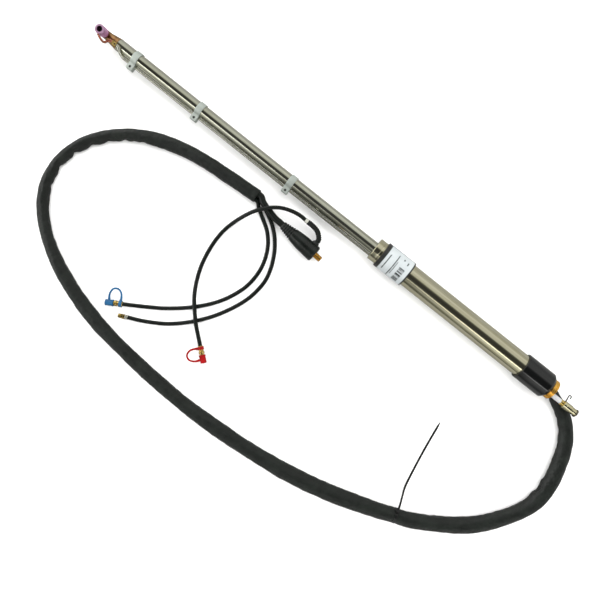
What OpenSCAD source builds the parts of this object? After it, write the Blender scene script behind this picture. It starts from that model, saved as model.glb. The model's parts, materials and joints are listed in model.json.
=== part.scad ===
// Long-reach, water-cooled welding torch lance with a cold-wire guide tube,
// a cable sleeve, a power plug and three service hoses, laid out on a surface.
// Millimetres. +X runs along the lance towards its rear, +Z is up, and z = 0 is
// the surface that the lance's two collars and its hoses lie on. The origin is
// below the middle of the lance.

/* [Lance] */
// Outer diameter of the two grip collars, which the lance lies on
collar_d = 60; // [58:1:62]
// Outer diameter of the long barrel tube
barrel_d = 28; // [26:0.5:29]
// Wall thickness of the barrel tube
barrel_wall = 1.5; // [1:0.1:2]
// Outer diameter of the rear housing tube
housing_d = 52; // [50:0.5:54]
// Wall thickness of the housing tube
housing_wall = 2; // [1.5:0.1:2.5]

/* [Lengths along the lance] */
// Torch head, from its nose to the front end of the barrel
head_l = 43; // [40:0.5:50]
// Barrel that shows between the head and the housing
reach = 710.5; // [650:0.5:900]
// Flange of the housing's front plug
flange_l = 20; // [15:1:30]
// Housing, from the flange to the gland ring
housing_l = 466; // [400:1:600]
// Gland ring at the rear of the housing
gland_l = 11; // [8:1:14]
// Wire inlet, from the gland ring to its mouth
inlet_l = 66.5; // [60:0.5:80]

/* [Torch head] */
// How far the head and its cup are rolled round the lance
head_roll = 7; // [0:1:15]
// Outer diameter of the ceramic cup at its mouth
cup_d = 21; // [20:0.5:22]
// Bore of the cup at its mouth
cup_bore = 11.8; // [11:0.1:12.4]
// Length of the cup
cup_l = 26; // [25:1:28]
// Diameter of the tungsten electrode
electrode_d = 3.2; // [2.4:0.4:3.2]

/* [Wire guide] */
// Outer diameter of the guide tube that runs beside the barrel
guide_d = 6; // [5:0.5:6]
// Distance of the guide tube from the lance axis
guide_offset = 17.5; // [17.3:0.1:18]
// Front clamp, from the front end of the barrel
clamp_1_at = 50; // [45:1:80]
// Middle clamp, from the front end of the barrel
clamp_2_at = 227; // [180:1:300]
// Rear clamp, from the front end of the barrel
clamp_3_at = 480; // [400:1:560]
// Width of a clamp along the barrel
clamp_w = 15; // [12:1:18]

/* [Plug and hoses] */
// Diameter of the plug's contact pin
pin_d = 13; // [13:0.5:13]
// Outer diameter of the power cable
power_d = 15; // [14:0.5:15]
// Outer diameter of the three service hoses
hose_d = 9; // [8:0.5:9]
// Outer diameter of the push-on caps of the two water couplings
cap_d = 15; // [14:0.5:15]

/* [Hidden] */
$fn = 64;
eps = 0.01;
fit = 0.05; // radial clearance of parts that fit into each other
axis_z = collar_d / 2;

// Stations along the lance
lance_l = head_l + reach + flange_l + housing_l + gland_l + inlet_l;
x_nose = -lance_l / 2;
x_barrel = x_nose + head_l;
x_plug = x_barrel + reach;
x_housing = x_plug + flange_l;
x_gland = x_housing + housing_l;
x_tail = x_gland + gland_l;
x_mouth = x_tail + inlet_l;
label_ring_l = 72;
label_margin = 9;
rear_collar_l = 77;
x_rear_collar = x_gland - rear_collar_l;
spigot_l = 25; // spigots of the front plug and gland inside the housing
x_manifold = x_rear_collar - 60;
manifold_l = 25;

// Torch head, in the head's own frame: origin on the lance axis
cup_x = x_nose + 7.5;
body_d = 20;
x_head = cup_x - body_d / 2;
boss_top = 12;
boss_bottom = -11;
seal_h = 2;
cup_base = boss_top + seal_h;
cup_mouth = cup_base + cup_l;
lens_d = 13.8;
lens_top = cup_base + 12;
collet_d = 6.4;

// Wire guide: it leaves its straight run, climbs round the barrel and ends in
// the bracket on the head's shoulder
bend_start = x_barrel + 30;
bend_end = x_barrel + 4;
bracket_angle = 110; // round the lance axis, from +Y
bracket_l = 10;
x_bracket = x_barrel - bracket_l + 3;
// Points of the nozzle, from the bracket to the tip beside the cup
NOZZLE = [
    [x_bracket + 4, -6, 46.4], [cup_x + 24, -6.5, 46.6], [cup_x + 20, -10, 47],
    [cup_x + 17.5, -15, 48.5], [cup_x + 16.5, -18.6, 52], [cup_x + 15.4, -19.6, 57],
    [cup_x + 12.4, -19.2, 62.5], [cup_x + 8.8, -17.6, 67.5], [cup_x + 4.6, -15.8, 72]];

// Inner lines, as [y, z] from the lance axis
power_line = [0, -6.5];
water_line = [-5, 5.5];
gas_line = [5, 5.5];
power_line_d = 10;
side_line_d = 8;

// Rear end, as [y, z] from the lance axis
wire_port = [-10, 11];
cable_port = [-2, -7.5];
cable_port_r = 13;
inlet_tube_d = 11;
inlet_body_d = 17.6;
x_ferrule = x_tail + 23;
x_inlet = x_ferrule + 8;
latch_x = x_inlet + 2.4;
latch_d = 2.5;
latch_lean = 8; // towards the front

// Plug: its front face, and the direction that its pin points in
plug_at = [2, -91, 19];
plug_turn = -4;
plug_l = 96;
plug_d = 38;
plug_rear_d = 19;
pin_l = 17;
side_port_at = -15.5; // of the water lead, from the plug's front face
side_port_out = 22;   // from the plug's axis
guard_d = 12;
marker_l = 7;

// Routes: [x, y, z, radius], laid out for a lance whose tail is at x = 592
layout_shift = x_tail - 592;
SLEEVE = [
    [592, -5, 21, 13], [602, -5, 21, 13], [612, -9, 18, 13.5], [628, -15, 15, 14.5],
    [645, -23, 15.5, 15.5], [664, -37, 16, 16], [681, -55, 16, 16], [698, -84, 17, 17],
    [711, -122, 18, 18], [721, -165, 18, 18], [721, -210, 18, 18], [707, -250, 18, 18],
    [681, -294, 18, 18], [645, -338, 18, 18], [596, -377, 18, 18], [534, -415, 18, 18],
    [497, -430, 18, 16.8], [450, -449, 18, 18],
    [360, -479, 18, 18], [265, -502, 18, 18], [170, -516, 17, 17], [80, -524, 17, 17],
    [-10, -528, 16, 16], [-100, -526, 16, 16], [-190, -519, 16, 16], [-275, -508, 16, 16],
    [-350, -489, 16, 16], [-420, -463, 16, 16], [-480, -430, 15, 15], [-525, -392, 14, 14],
    [-555, -348, 14, 14], [-568, -300, 13, 13], [-564, -252, 13, 13], [-544, -205, 14, 14],
    [-510, -162, 14, 14], [-465, -127, 15, 15], [-405, -100, 15, 15], [-335, -83, 16, 16],
    [-255, -75, 16, 16], [-178, -69, 16, 16]];
POWER = [[-156, -73, 18], [-134, -79, 18.5], [-116, -83, 19]];
GUARD = [[-18, -53, 21], [-28, -47, 23], [-42, -45, 25], [-54, -45, 26]];
RED = [
    [-78, -45, 28], [-100, -50, 30.5], [-120, -59, 32], [-138, -73, 32], [-156, -93, 27],
    [-170, -115, 18], [-182, -142, 8], [-190, -175, 4.5], [-190, -215, 4.5], [-182, -260, 4.5],
    [-168, -297, 6], [-150, -327, 12], [-134, -346, 14], [-113, -369, 14], [-95, -386, 9.5],
    [-83, -396.5, 7.5], [-71, -406.5, 7.5]];
BLUE = [
    [-158, -88, 8], [-136, -101, 4.5], [-113, -116, 4.5], [-92, -140, 4.5],
    [-77, -172, 4.5], [-71, -208, 4.5], [-76, -250, 4.5], [-98, -300, 4.5], [-134, -346, 4.5],
    [-180, -387, 4.5], [-218, -413, 5.5], [-246, -430.5, 7.5], [-263, -441, 7.5]];
GAS = [
    [-156, -76, 4.5], [-136, -85, 4.5], [-113, -98, 4.5], [-90, -118, 4.5],
    [-70, -145, 4.5], [-54, -180, 4.5], [-48, -215, 4.5], [-55, -264, 4.5], [-80, -321, 4.5],
    [-113, -369, 4.5], [-155, -411, 4.5], [-200, -440, 5.2], [-236, -457.4, 5.2]];
sleeve_sides = 10;
hose_sides = 8;

// Cable tie round the sleeve's waist, and its tail
tie_at = [497, -430, 18];
tie_turn = 22.4;
TIE_TAIL = [[491, -416, 32], [488, -404, 29], [484, -388, 18], [479, -366, 4], [470, -320, 1.2],
    [461, -269, 1.2], [452, -207, 1.2]];

// ---- helpers ----

// A cylinder along +X between two stations, offset [y, z] from the lance axis
module rod(d, x0, x1, at = [0, 0]) {
    translate([x0, at[0], axis_z + at[1]]) rotate([0, 90, 0]) cylinder(d = d, h = x1 - x0);
}

// A cone along +X between two stations on the lance axis
module taper(d0, d1, x0, x1) {
    translate([x0, 0, axis_z]) rotate([0, 90, 0]) cylinder(d1 = d0, d2 = d1, h = x1 - x0);
}

module pipe(d, bore, x0, x1, at = [0, 0]) {
    difference() {
        rod(d, x0, x1, at);
        rod(bore, x0 - 1, x1 + 1, at);
    }
}

// The head's frame: x as the lance's, origin on the lance axis, rolled
module head_frame() {
    translate([0, 0, axis_z]) rotate([head_roll, 0, 0]) children();
}

// A cylinder on the cup's axis between two heights of the head's frame
module cup_rod(d, z0, z1) {
    head_frame() translate([cup_x, 0, z0]) cylinder(d = d, h = z1 - z0);
}

module cup_cone(d0, d1, z0, z1) {
    head_frame() translate([cup_x, 0, z0]) cylinder(d1 = d0, d2 = d1, h = z1 - z0);
}

function unit(v) = v / norm(v);
function xyz(p) = [p[0], p[1], p[2]];
// Direction of a route at point i
function heading(route, i) =
    let (a = xyz(route[max(i - 1, 0)]), b = xyz(route[min(i + 1, len(route) - 1)])) unit(b - a);
// One ring of a tube: its first corner points straight down
function ring(p, dir, r, sides) =
    let (side = unit(cross(dir, [0, 0, 1])), up = cross(side, dir))
    [for (k = [0 : sides - 1]) p + r * (sin(360 * k / sides) * side - cos(360 * k / sides) * up)];
function radius_at(route, i, d) = len(route[i]) > 3 ? route[i][3] : d / 2;

// A round tube swept along a route, solid, with flat ends
module sweep(route, d, sides) {
    n = len(route);
    points = [for (i = [0 : n - 1]) each
        ring(xyz(route[i]), heading(route, i), radius_at(route, i, d), sides)];
    walls = [for (i = [0 : n - 2], k = [0 : sides - 1], half = [0, 1])
        let (a = i * sides + k, b = i * sides + (k + 1) % sides)
        half == 0 ? [a, b, b + sides] : [a, b + sides, a + sides]];
    front = [[for (k = [sides - 1 : -1 : 0]) k]];
    back = [[for (k = [0 : sides - 1]) (n - 1) * sides + k]];
    polyhedron(points = points, faces = concat(walls, front, back));
}

// Places a child whose +X axis continues the end of a route
module at_end(route) {
    n = len(route);
    dir = heading(route, n - 1);
    laid_out() translate(xyz(route[n - 1])) rotate([0, 0, atan2(dir[1], dir[0])]) children();
}

// A cylinder along a route end's +X, between two distances from that end
module end_rod(d, x0, x1) {
    translate([x0, 0, 0]) rotate([0, 90, 0]) cylinder(d = d, h = x1 - x0);
}

// The cords' frame: it follows the lance's tail
module laid_out() {
    translate([layout_shift, 0, 0]) children();
}

module plug_frame() {
    laid_out() translate(plug_at) rotate([0, 0, plug_turn]) children();
}

// ---- torch head ----

module head_outer(grow = 0) {
    rod(body_d + 2 * grow, x_head + 2, x_barrel - 26);
    taper(body_d - 4, body_d + 2 * grow, x_head, x_head + 2);
    taper(body_d + 2 * grow, barrel_d + 2 * grow, x_barrel - 26, x_barrel - 1);
    rod(barrel_d + 2 * grow, x_barrel - 1, x_barrel);
}

module torch_head() {
    color([0.59, 0.42, 0.22]) difference() {
        union() {
            head_outer();
            rod(barrel_d - 2 * barrel_wall - 2 * fit, x_barrel - eps, x_barrel + 15);
            cup_rod(body_d, boss_bottom, boss_top);
        }
        cup_rod(10, -3, boss_top + 1);
        cup_rod(8.2, boss_bottom - 1, 0);
        for (line = [[power_line, power_line_d], [water_line, side_line_d], [gas_line, side_line_d]])
            rod(line[1] + 2 * fit, x_barrel + 3, x_barrel + 16, line[0]);
        for (line = [power_line, water_line, gas_line])
            rod(4, x_barrel - 14, x_barrel + 4, line * 0.8);
    }
}

module head_seal() {
    color([0.35, 0.12, 0.08]) difference() {
        cup_rod(body_d, boss_top, cup_base);
        cup_rod(lens_d + 0.4, boss_top - 1, cup_base + 1);
    }
}

module cup() {
    throat = lens_top + 4;
    color([0.78, 0.58, 0.72]) difference() {
        union() {
            cup_cone(cup_d - 1, cup_d, cup_base, cup_base + 3);
            cup_rod(cup_d, cup_base + 3 - eps, cup_mouth);
        }
        cup_rod(lens_d + 0.2, cup_base - 1, lens_top + 1);
        cup_cone(lens_d + 0.2, cup_bore, lens_top + 1 - eps, throat);
        cup_rod(cup_bore, throat - eps, cup_mouth + 1);
    }
}

module gas_lens() {
    color([0.72, 0.53, 0.25]) difference() {
        union() {
            cup_rod(9.8, -2, boss_top);
            cup_rod(lens_d, boss_top, lens_top);
        }
        cup_rod(collet_d + 0.2, -3, lens_top - 4);
        cup_rod(electrode_d + 0.4, lens_top - 5, lens_top + 1);
        difference() {
            cup_rod(lens_d - 1.6, lens_top - 1.5, lens_top + 1);
            cup_rod(7, lens_top - 2, lens_top + 2);
        }
    }
}

module collet() {
    color([0.85, 0.5, 0.36]) difference() {
        union() {
            cup_rod(collet_d, -2, lens_top - 6);
            cup_cone(collet_d, electrode_d + 1.4, lens_top - 6, lens_top - 4.5);
        }
        cup_rod(electrode_d + 0.1, -4, lens_top);
        for (turn = [0, 90])
            head_frame() translate([cup_x, 0, lens_top - 14]) rotate([0, 0, turn])
                translate([-5, -0.25, 0]) cube([10, 0.5, 12]);
    }
}

module electrode() {
    color([0.4, 0.4, 0.42]) {
        cup_rod(electrode_d, -6, cup_mouth - 8);
        cup_cone(electrode_d, 0.5, cup_mouth - 8, cup_mouth - 1.5);
    }
}

module back_cap() {
    color([0.1, 0.1, 0.1]) difference() {
        union() {
            cup_rod(16, boss_bottom - 9, boss_bottom);
            cup_rod(8, boss_bottom - eps, -3.2);
        }
        cup_rod(electrode_d + 0.4, -7, 0);
        for (turn = [0 : 30 : 330])
            head_frame() translate([cup_x, 0, boss_bottom - 10]) rotate([0, 0, turn])
                translate([8.6, 0, 0]) cylinder(d = 2.4, h = 9);
    }
}

// ---- wire guide ----

function eased(t) = (1 - cos(180 * t)) / 2;
guide_bend = [for (i = [0 : 12]) let (t = i / 12, a = 180 - (180 - bracket_angle) * eased(t))
    [bend_start + (bend_end - bend_start) * t, guide_offset * cos(a), axis_z + guide_offset * sin(a)]];
guide_tip = guide_bend[12];
x_guide_rear = x_plug + 50;
guide_route = concat(
    [[x_guide_rear, -guide_offset, axis_z]], guide_bend,
    [[x_bracket + 4.2, guide_tip[1], guide_tip[2]]]);

module wire_guide_tube() {
    color([0.7, 0.69, 0.62]) sweep(guide_route, guide_d, 16);
}

module bracket_at() {
    translate([0, 0, axis_z]) rotate([bracket_angle - 90, 0, 0]) children();
}

module wire_bracket() {
    color([0.5, 0.45, 0.2]) difference() {
        bracket_at() translate([x_bracket, -4.5, 8]) cube([bracket_l, 9, 14]);
        head_outer(0.02);
        rod(barrel_d + 0.6, x_barrel - 0.5, x_barrel + 20);
        bracket_at() translate([x_bracket - 1, 0, guide_offset]) rotate([0, 90, 0])
            cylinder(d = guide_d + 0.1, h = bracket_l + 2);
        bracket_at() translate([x_bracket + 7, 0, 20.6]) cylinder(d = 3.1, h = 3);
    }
}

module bracket_screw() {
    color([0.3, 0.3, 0.3]) difference() {
        bracket_at() translate([x_bracket + 7, 0, guide_offset + guide_d / 2 + 0.15])
            cylinder(d = 3, h = 2.6);
        bracket_at() translate([x_bracket + 7, 0, 22]) cylinder(d = 1.6, h = 3, $fn = 6);
    }
}

module wire_nozzle() {
    color([0.88, 0.5, 0.38]) sweep(NOZZLE, guide_d - 0.8, 12);
}

// A clamp: a ring round the barrel with an ear that holds the guide tube
screw_y = -22.8;
ear_y = -29;
ear_h = 15;
ring_r = 16;
slit = 1.6;

module clamp(at) {
    x0 = x_barrel + at - clamp_w / 2;
    color([0.72, 0.75, 0.72]) difference() {
        union() {
            rod(2 * ring_r, x0, x0 + clamp_w);
            translate([x0, ear_y + 2, axis_z - ear_h / 2]) cube([clamp_w, -ear_y - 2, ear_h]);
            translate([x0, ear_y, axis_z - ear_h / 2 + 2]) cube([clamp_w, 3, ear_h - 4]);
            for (z = [-1, 1])
                rod(4, x0, x0 + clamp_w, [ear_y + 2, z * (ear_h / 2 - 2)]);
        }
        rod(barrel_d + 2 * fit, x0 - 1, x0 + clamp_w + 1);
        rod(guide_d + 2 * fit, x0 - 1, x0 + clamp_w + 1, [-guide_offset, 0]);
        translate([x0 - 1, ear_y - 1, axis_z - slit / 2]) cube([clamp_w + 2, 18, slit]);
        translate([x0 + clamp_w / 2, screw_y, axis_z - 10]) cylinder(d = 3.1, h = 30);
        translate([x0 + clamp_w / 2, screw_y, axis_z + 4.5]) cylinder(d = 5.6, h = 9);
    }
}

module clamp_screw(at) {
    color([0.25, 0.25, 0.25]) difference() {
        translate([x_barrel + at, screw_y, 0]) {
            translate([0, 0, axis_z - ear_h / 2 + 0.3]) cylinder(d = 3, h = ear_h / 2 + 4.3);
            translate([0, 0, axis_z + 4.5]) cylinder(d = 5.4, h = 3);
        }
        translate([x_barrel + at, screw_y, axis_z + 5.7]) cylinder(d = 2.9, h = 3, $fn = 6);
    }
}

module clamp_front() clamp(clamp_1_at);
module clamp_middle() clamp(clamp_2_at);
module clamp_rear() clamp(clamp_3_at);
module screw_front() clamp_screw(clamp_1_at);
module screw_middle() clamp_screw(clamp_2_at);
module screw_rear() clamp_screw(clamp_3_at);

// ---- barrel and inner lines ----

x_barrel_rear = x_housing + spigot_l;

module barrel_tube() {
    color([0.65, 0.63, 0.55])
        pipe(barrel_d, barrel_d - 2 * barrel_wall, x_barrel, x_barrel_rear);
}

module line_pipe(d, at) {
    pipe(d, d - 2, x_barrel + 3 + fit, x_manifold + 8, at);
}

module power_line() color([0.85, 0.5, 0.36]) line_pipe(power_line_d, power_line);
module water_line() color([0.8, 0.8, 0.78]) line_pipe(side_line_d, water_line);
module gas_line() color([0.7, 0.7, 0.66]) line_pipe(side_line_d, gas_line);

module spacer(d, x, l) {
    difference() {
        rod(d, x, x + l);
        rod(power_line_d + 2 * fit, x - 1, x + l + 1, power_line);
        rod(side_line_d + 2 * fit, x - 1, x + l + 1, water_line);
        rod(side_line_d + 2 * fit, x - 1, x + l + 1, gas_line);
    }
}

module barrel_spacers() {
    color([0.9, 0.9, 0.85]) for (i = [0 : 4])
        spacer(barrel_d - 2 * barrel_wall - 2 * fit, x_barrel + 90 + 145 * i, 6);
}

// ---- housing ----

module front_plug() {
    spigot_d = housing_d - 2 * housing_wall - 2 * fit;
    color([0.66, 0.65, 0.55]) difference() {
        union() {
            taper(housing_d - 3, housing_d, x_plug, x_plug + 1.5);
            rod(housing_d, x_plug + 1.5 - eps, x_housing);
            rod(spigot_d, x_housing - eps, x_housing + spigot_l);
        }
        rod(barrel_d + 2 * fit, x_plug - 1, x_housing + spigot_l + 1);
        rod(guide_d + 2 * fit, x_plug - 1, x_housing + spigot_l + 1, [-guide_offset, 0]);
    }
}

module housing_tube() {
    color([0.65, 0.63, 0.55])
        pipe(housing_d, housing_d - 2 * housing_wall, x_housing, x_rear_collar + 25);
}

label_depth = 0.3;
label_x0 = x_housing + label_margin;
label_x1 = x_housing + label_ring_l - 3;

module label_ring() {
    color([0.12, 0.12, 0.12]) difference() {
        rod(collar_d, x_housing, x_housing + label_ring_l);
        rod(housing_d + 2 * fit, x_housing - 1, x_housing + label_ring_l + 1);
        intersection() {
            pipe(collar_d + 2, collar_d - 2 * label_depth, label_x0, label_x1);
            label_sector();
        }
    }
}

// The sector of the ring that the label covers, from near +Y over the top and past -Y
module label_sector() {
    reach_r = collar_d;
    translate([label_x0 - 1, 0, axis_z]) rotate([90, 0, 90]) linear_extrude(label_x1 - label_x0 + 2)
        polygon([[0, 0], for (a = [22, 67, 112, 157, 202]) reach_r * [cos(a), sin(a)]]);
}

module label() {
    color([0.82, 0.84, 0.85]) intersection() {
        pipe(collar_d, collar_d - 2 * label_depth, label_x0, label_x1);
        label_sector();
    }
}

module housing_spacers() {
    color([0.9, 0.9, 0.85]) for (i = [0 : 1]) difference() {
        spacer(housing_d - 2 * housing_wall - 2 * fit, x_housing + 110 + 110 * i, 8);
        rod(9, x_housing, x_manifold, liner_at(i));
    }
}

// Where the wire liner passes each housing spacer, as [y, z] from the lance axis
function liner_at(i) = [-16.5, 1 + 4.5 * i];

// Brass block that the three lines end in and the cable bundle starts from
cable_lead = [cable_port[0], cable_port[1] - 5.3];
water_lead = [cable_port[0] - 6, cable_port[1] + 5.3];
gas_lead = [cable_port[0] + 6, cable_port[1] + 5.3];

module manifold() {
    color([0.72, 0.55, 0.3]) difference() {
        rod(housing_d - 2 * housing_wall - 1, x_manifold, x_manifold + manifold_l);
        rod(power_line_d + 2 * fit, x_manifold - 1, x_manifold + 8, power_line);
        rod(side_line_d + 2 * fit, x_manifold - 1, x_manifold + 8, water_line);
        rod(side_line_d + 2 * fit, x_manifold - 1, x_manifold + 8, gas_line);
        rod(11, x_manifold - 1, x_manifold + manifold_l + 1, [-15.5, 9]);
    }
}

module service_leads() {
    color([0.2, 0.2, 0.2]) {
        rod(power_d, x_manifold + manifold_l, x_tail, cable_lead);
        rod(hose_d, x_manifold + manifold_l, x_tail, water_lead);
        rod(hose_d, x_manifold + manifold_l, x_tail, gas_lead);
    }
}

// The liner leads the wire from the guide tube to the inlet tube
LINER = [
    [0, -17.5, 0], [0.03, -17.5, 0], [0.15, -17.4, 0.3], [0.35, -16.6, 1.6],
    [0.6, -16, 6], [0.8, -14.5, 9.5], [0.92, -10.5, 11], [0.97, -10, 11], [1, -10, 11]];
x_liner_rear = x_gland - 12;

module wire_liner() {
    x0 = x_guide_rear;
    color([0.9, 0.88, 0.8]) sweep(
        [for (p = LINER) [x0 + p[0] * (x_liner_rear - x0), p[1], axis_z + p[2]]], 4, 8);
}

module rear_collar() {
    bore = housing_d - 2 * housing_wall - 4;
    chamfer_l = 8;
    color([0.13, 0.13, 0.14]) difference() {
        union() {
            rod(collar_d, x_rear_collar, x_gland - chamfer_l);
            taper(collar_d, collar_d - 14, x_gland - chamfer_l, x_gland);
        }
        rod(housing_d + 2 * fit, x_rear_collar - 1, x_rear_collar + 25);
        rod(bore, x_rear_collar, x_gland + 1);
    }
}

module gland_ring() {
    spigot_d = housing_d - 2 * housing_wall - 4 - 2 * fit;
    color([0.84, 0.63, 0.24]) difference() {
        union() {
            rod(spigot_d, x_gland - spigot_l, x_gland + eps);
            rod(collar_d - 14, x_gland, x_tail - 1);
            taper(collar_d - 14, collar_d - 16, x_tail - 1, x_tail);
        }
        rod(2 * cable_port_r, x_gland - spigot_l - 1, x_tail + 1, cable_port);
        rod(inlet_tube_d + 2 * fit, x_gland - 12, x_tail + 1, wire_port);
        rod(6, x_gland - spigot_l - 1, x_gland, wire_port);
    }
}

// ---- wire inlet ----

module inlet_tube() {
    color([0.9, 0.87, 0.87])
        pipe(inlet_tube_d, 6, x_gland - 12, x_ferrule, wire_port);
}

module inlet_ferrule() {
    color([0.8, 0.6, 0.25]) difference() {
        rod(13, x_ferrule, x_inlet, wire_port);
        rod(6, x_ferrule - 1, x_inlet + 1, wire_port);
    }
}

inlet_bore = 8;

module inlet_body() {
    color([0.68, 0.66, 0.5]) difference() {
        union() {
            rod(inlet_body_d, x_inlet, x_mouth - 14, wire_port);
            rod(inlet_body_d - 2, x_mouth - 14 - eps, x_mouth - 4, wire_port);
        }
        rod(6, x_inlet - 1, x_mouth, wire_port);
        rod(inlet_bore, x_mouth - 24, x_mouth + 1, wire_port);
        latch_frame() translate([0, 5, 0]) rotate([-90, 0, 0]) cylinder(d = latch_d + 0.1, h = 8);
    }
}

module inlet_rim() {
    color([0.25, 0.24, 0.2]) difference() {
        rod(inlet_body_d + 0.8, x_mouth - 4, x_mouth, wire_port);
        rod(inlet_bore + 1, x_mouth - 5, x_mouth + 1, wire_port);
    }
}

// The latch's frame: origin on the inlet's axis, +Y out along the pin
module latch_frame() {
    translate([latch_x, wire_port[0], axis_z + wire_port[1]]) rotate([0, 0, latch_lean]) children();
}

// A sprung wire pin with a hooked finger pull
module latch_pin() {
    hook_r = 2.8;
    bend_at = 20.5;
    color([0.35, 0.35, 0.33]) latch_frame() {
        translate([0, 5.2, 0]) rotate([-90, 0, 0]) cylinder(d = latch_d, h = bend_at - 5.1);
        translate([hook_r, bend_at, 0]) rotate([0, 0, -4])
            rotate_extrude(angle = 188) translate([hook_r, 0]) circle(d = latch_d, $fn = 24);
        translate([2 * hook_r, bend_at + 0.1, 0]) rotate([90, 0, 0]) cylinder(d = latch_d, h = 4);
    }
}

// ---- sleeve, power cable and plug ----

module cable_sleeve() {
    color([0.17, 0.18, 0.17]) laid_out() sweep(SLEEVE, 32, sleeve_sides);
}

module cable_tie() {
    color([0.1, 0.1, 0.1]) laid_out() {
        translate(tie_at) rotate([0, 0, tie_turn]) rotate([0, 90, 0]) difference() {
            cylinder(r = 17.9, h = 4.8, center = true);
            cylinder(r = 17.15, h = 6, center = true);
        }
        translate(tie_at) rotate([0, 0, tie_turn]) rotate([45, 0, 0]) translate([0, 0, 19.8])
            cube([6, 6, 5], center = true);
        sweep(TIE_TAIL, 2.4, 8);
    }
}

// A point beside the middle of the sleeve's open end, out along the sleeve
mouth = SLEEVE[len(SLEEVE) - 1];
mouth_dir = heading(SLEEVE, len(SLEEVE) - 1);
function from_mouth(side, z, out) =
    [mouth[0], mouth[1], z] + side * [-mouth_dir[1], mouth_dir[0], 0] + out * mouth_dir;
function out_of_mouth(side, z, route) =
    concat([from_mouth(side, z, 0), from_mouth(side, z, 8)], route);

plug_dir = [cos(plug_turn), sin(plug_turn), 0];
plug_side = [-sin(plug_turn), cos(plug_turn), 0];

module power_cable() {
    boot_end = plug_at - plug_l * plug_dir;
    color([0.15, 0.15, 0.15]) laid_out()
        sweep(concat(out_of_mouth(4, 17, POWER), [boot_end - 10 * plug_dir, boot_end]), power_d, 12);
}

// The boot's outline: half of its length section, from the rear end to the face
PLUG_OUTLINE = [
    [-plug_l, 0], [-plug_l, plug_rear_d / 2], [-65, 14.8], [-57, 16],
    [-40, 18], [-3, plug_d / 2], [0, plug_d / 2 - 2.5], [0, 0]];

module plug_boot() {
    color([0.14, 0.14, 0.14]) plug_frame() difference() {
        union() {
            rotate([0, 90, 0]) rotate([0, 0, 90]) rotate_extrude() mirror([1, 0])
                polygon([for (p = PLUG_OUTLINE) [-p[1], p[0]]]);
            translate([side_port_at, 10, 0]) rotate([-90, 0, 0])
                cylinder(d = guard_d + 3, h = side_port_out - 10);
        }
        for (i = [0 : 4]) translate([-plug_l + 6 + 5.5 * i, 0, 0]) rotate([0, 90, 0])
            difference() {
                cylinder(r = 18, h = 2.4);
                translate([0, 0, -1]) cylinder(r = plug_rear_d / 2 - 0.5 + 0.94 * i, h = 5);
            }
        translate([-45 - fit, 0, 0]) rotate([0, 90, 0]) cylinder(d = 22.1, h = 41 + 2 * fit);
        translate([-10, 0, 0]) rotate([0, 90, 0]) cylinder(d = pin_d + 1.1, h = 12);
    }
}

module plug_pin() {
    color([0.84, 0.55, 0.15]) plug_frame() difference() {
        union() {
            translate([-45, 0, 0]) rotate([0, 90, 0]) cylinder(d = 22, h = 41);
            translate([-4 - eps, 0, 0]) rotate([0, 90, 0]) cylinder(d = pin_d + 1, h = 4);
            translate([-eps, 0, 0]) rotate([0, 90, 0]) cylinder(d = pin_d, h = pin_l - 1.5);
            translate([pin_l - 1.5 - eps, 0, 0]) rotate([0, 90, 0])
                cylinder(d1 = pin_d, d2 = pin_d - 3, h = 1.5);
        }
        translate([8.4, -2, pin_d / 2 - 1.2]) cube([3.4, 4, 3]);
    }
}

// ---- water lead of the plug ----

side_port = plug_at + side_port_at * plug_dir + side_port_out * plug_side;
guard_route = concat([side_port, side_port + 7 * plug_side], GUARD);
guard_end = GUARD[len(GUARD) - 1];
guard_dir = unit(RED[0] - guard_end);
marker_end = guard_end + marker_l * guard_dir;

module kink_guard() {
    color([0.14, 0.14, 0.14]) laid_out() sweep(guard_route, guard_d, 10);
}

module marker_band() {
    color([0.85, 0.85, 0.8]) laid_out() sweep([guard_end, marker_end], hose_d + 1.6, 16);
}

module red_hose() {
    color([0.17, 0.17, 0.17]) laid_out() sweep(concat([marker_end], RED), hose_d, hose_sides);
}

// ---- couplings with push-on caps ----

coupling_l = 32;
cap_grip_l = 12;
cap_l = 18.5;
cap_at = 20.5;

module coupling() {
    difference() {
        union() {
            end_rod(10.5, 0, 13);
            translate([13, 0, 0]) rotate([0, 90, 0]) cylinder(d = 13, h = 5, $fn = 6);
            end_rod(9, 18, coupling_l);
        }
        end_rod(4.5, 4, coupling_l + 1);
    }
}

module strap_ring() {
    difference() {
        end_rod(cap_d - 0.5, 1.5, 8.5);
        end_rod(10.6, 0, 10);
    }
}

module cap() {
    difference() {
        union() {
            end_rod(cap_d, cap_at, cap_at + cap_l - 1.5);
            translate([cap_at + cap_l - 1.5, 0, 0]) rotate([0, 90, 0])
                cylinder(d1 = cap_d, d2 = cap_d - 3, h = 1.5);
        }
        end_rod(9.1, cap_at - 1, cap_at + cap_grip_l);
    }
}

// The rubber strap from the ring round to the cap, on one side of the coupling
module strap(side) {
    // from the ring's side, out in an arch, to the cap's side
    sweep([[5, side * 7.6, 1], [4, side * 15, 2], [5.5, side * 24, 2], [11, side * 31, 2],
        [18, side * 33, 2], [25, side * 30.5, 1.5], [30, side * 23, 1], [31.5, side * 15, 0.5],
        [31, side * 7.8, 0]], 3, 8);
}

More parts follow.
